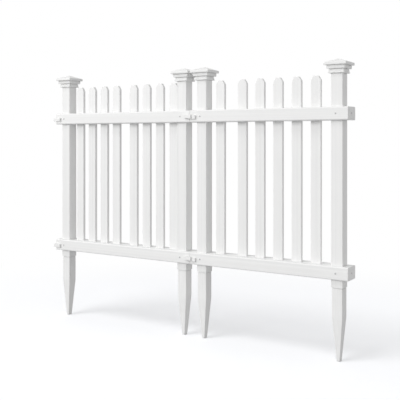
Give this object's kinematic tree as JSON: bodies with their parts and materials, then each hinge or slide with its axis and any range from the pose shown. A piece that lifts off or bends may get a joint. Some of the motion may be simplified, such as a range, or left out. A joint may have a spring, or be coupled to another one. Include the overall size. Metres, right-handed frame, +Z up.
{
  "type": "two-bay picket fence panel",
  "caption": "White plastic picket fence of two bays: square posts with moulded caps on pointed ground stakes, box rails, dog-eared pickets, hooks joining bay to bay.",
  "frame": {"origin": "middle of the flat tip of the stake under the first post, at the fence's left end seen from the front", "axes": "+X along the fence to the right, +Y from the front to the back, +Z up"},
  "size_m": [1.543, 0.099, 1.197],
  "materials": {
    "white_profile": "satin white extruded profile",
    "white_moulding": "satin white moulding",
    "white_stake": "satin white moulded stake"
  },
  "bodies": {
    "root": {"left_bay_bottom_hook": "white_moulding", "left_bay_bottom_keeper": "white_moulding", "left_bay_bottom_rail": "white_profile", "left_bay_bottom_rail_left_end": "white_moulding", "left_bay_bottom_rail_right_end": "white_moulding", "left_bay_left_post": "white_profile", "left_bay_left_post_cap": "white_moulding", "left_bay_left_stake": "white_stake", "left_bay_picket_1": "white_profile", "left_bay_picket_2": "white_profile", "left_bay_picket_3": "white_profile", "left_bay_picket_4": "white_profile", "left_bay_picket_5": "white_profile", "left_bay_picket_6": "white_profile", "left_bay_picket_7": "white_profile", "left_bay_picket_8": "white_profile", "left_bay_right_post": "white_profile", "left_bay_right_post_cap": "white_moulding", "left_bay_right_stake": "white_stake", "left_bay_top_hook": "white_moulding", "left_bay_top_keeper": "white_moulding", "left_bay_top_rail": "white_profile", "left_bay_top_rail_left_end": "white_moulding", "left_bay_top_rail_right_end": "white_moulding", "right_bay_bottom_hook": "white_moulding", "right_bay_bottom_rail": "white_profile", "right_bay_bottom_rail_left_end": "white_moulding", "right_bay_bottom_rail_right_end": "white_moulding", "right_bay_left_post": "white_profile", "right_bay_left_post_cap": "white_moulding", "right_bay_left_stake": "white_stake", "right_bay_picket_1": "white_profile", "right_bay_picket_2": "white_profile", "right_bay_picket_3": "white_profile", "right_bay_picket_4": "white_profile", "right_bay_picket_5": "white_profile", "right_bay_picket_6": "white_profile", "right_bay_right_post": "white_profile", "right_bay_right_post_cap": "white_moulding", "right_bay_right_stake": "white_stake", "right_bay_top_hook": "white_moulding", "right_bay_top_rail": "white_profile", "right_bay_top_rail_left_end": "white_moulding", "right_bay_top_rail_right_end": "white_moulding"}
  },
  "joints": []
}
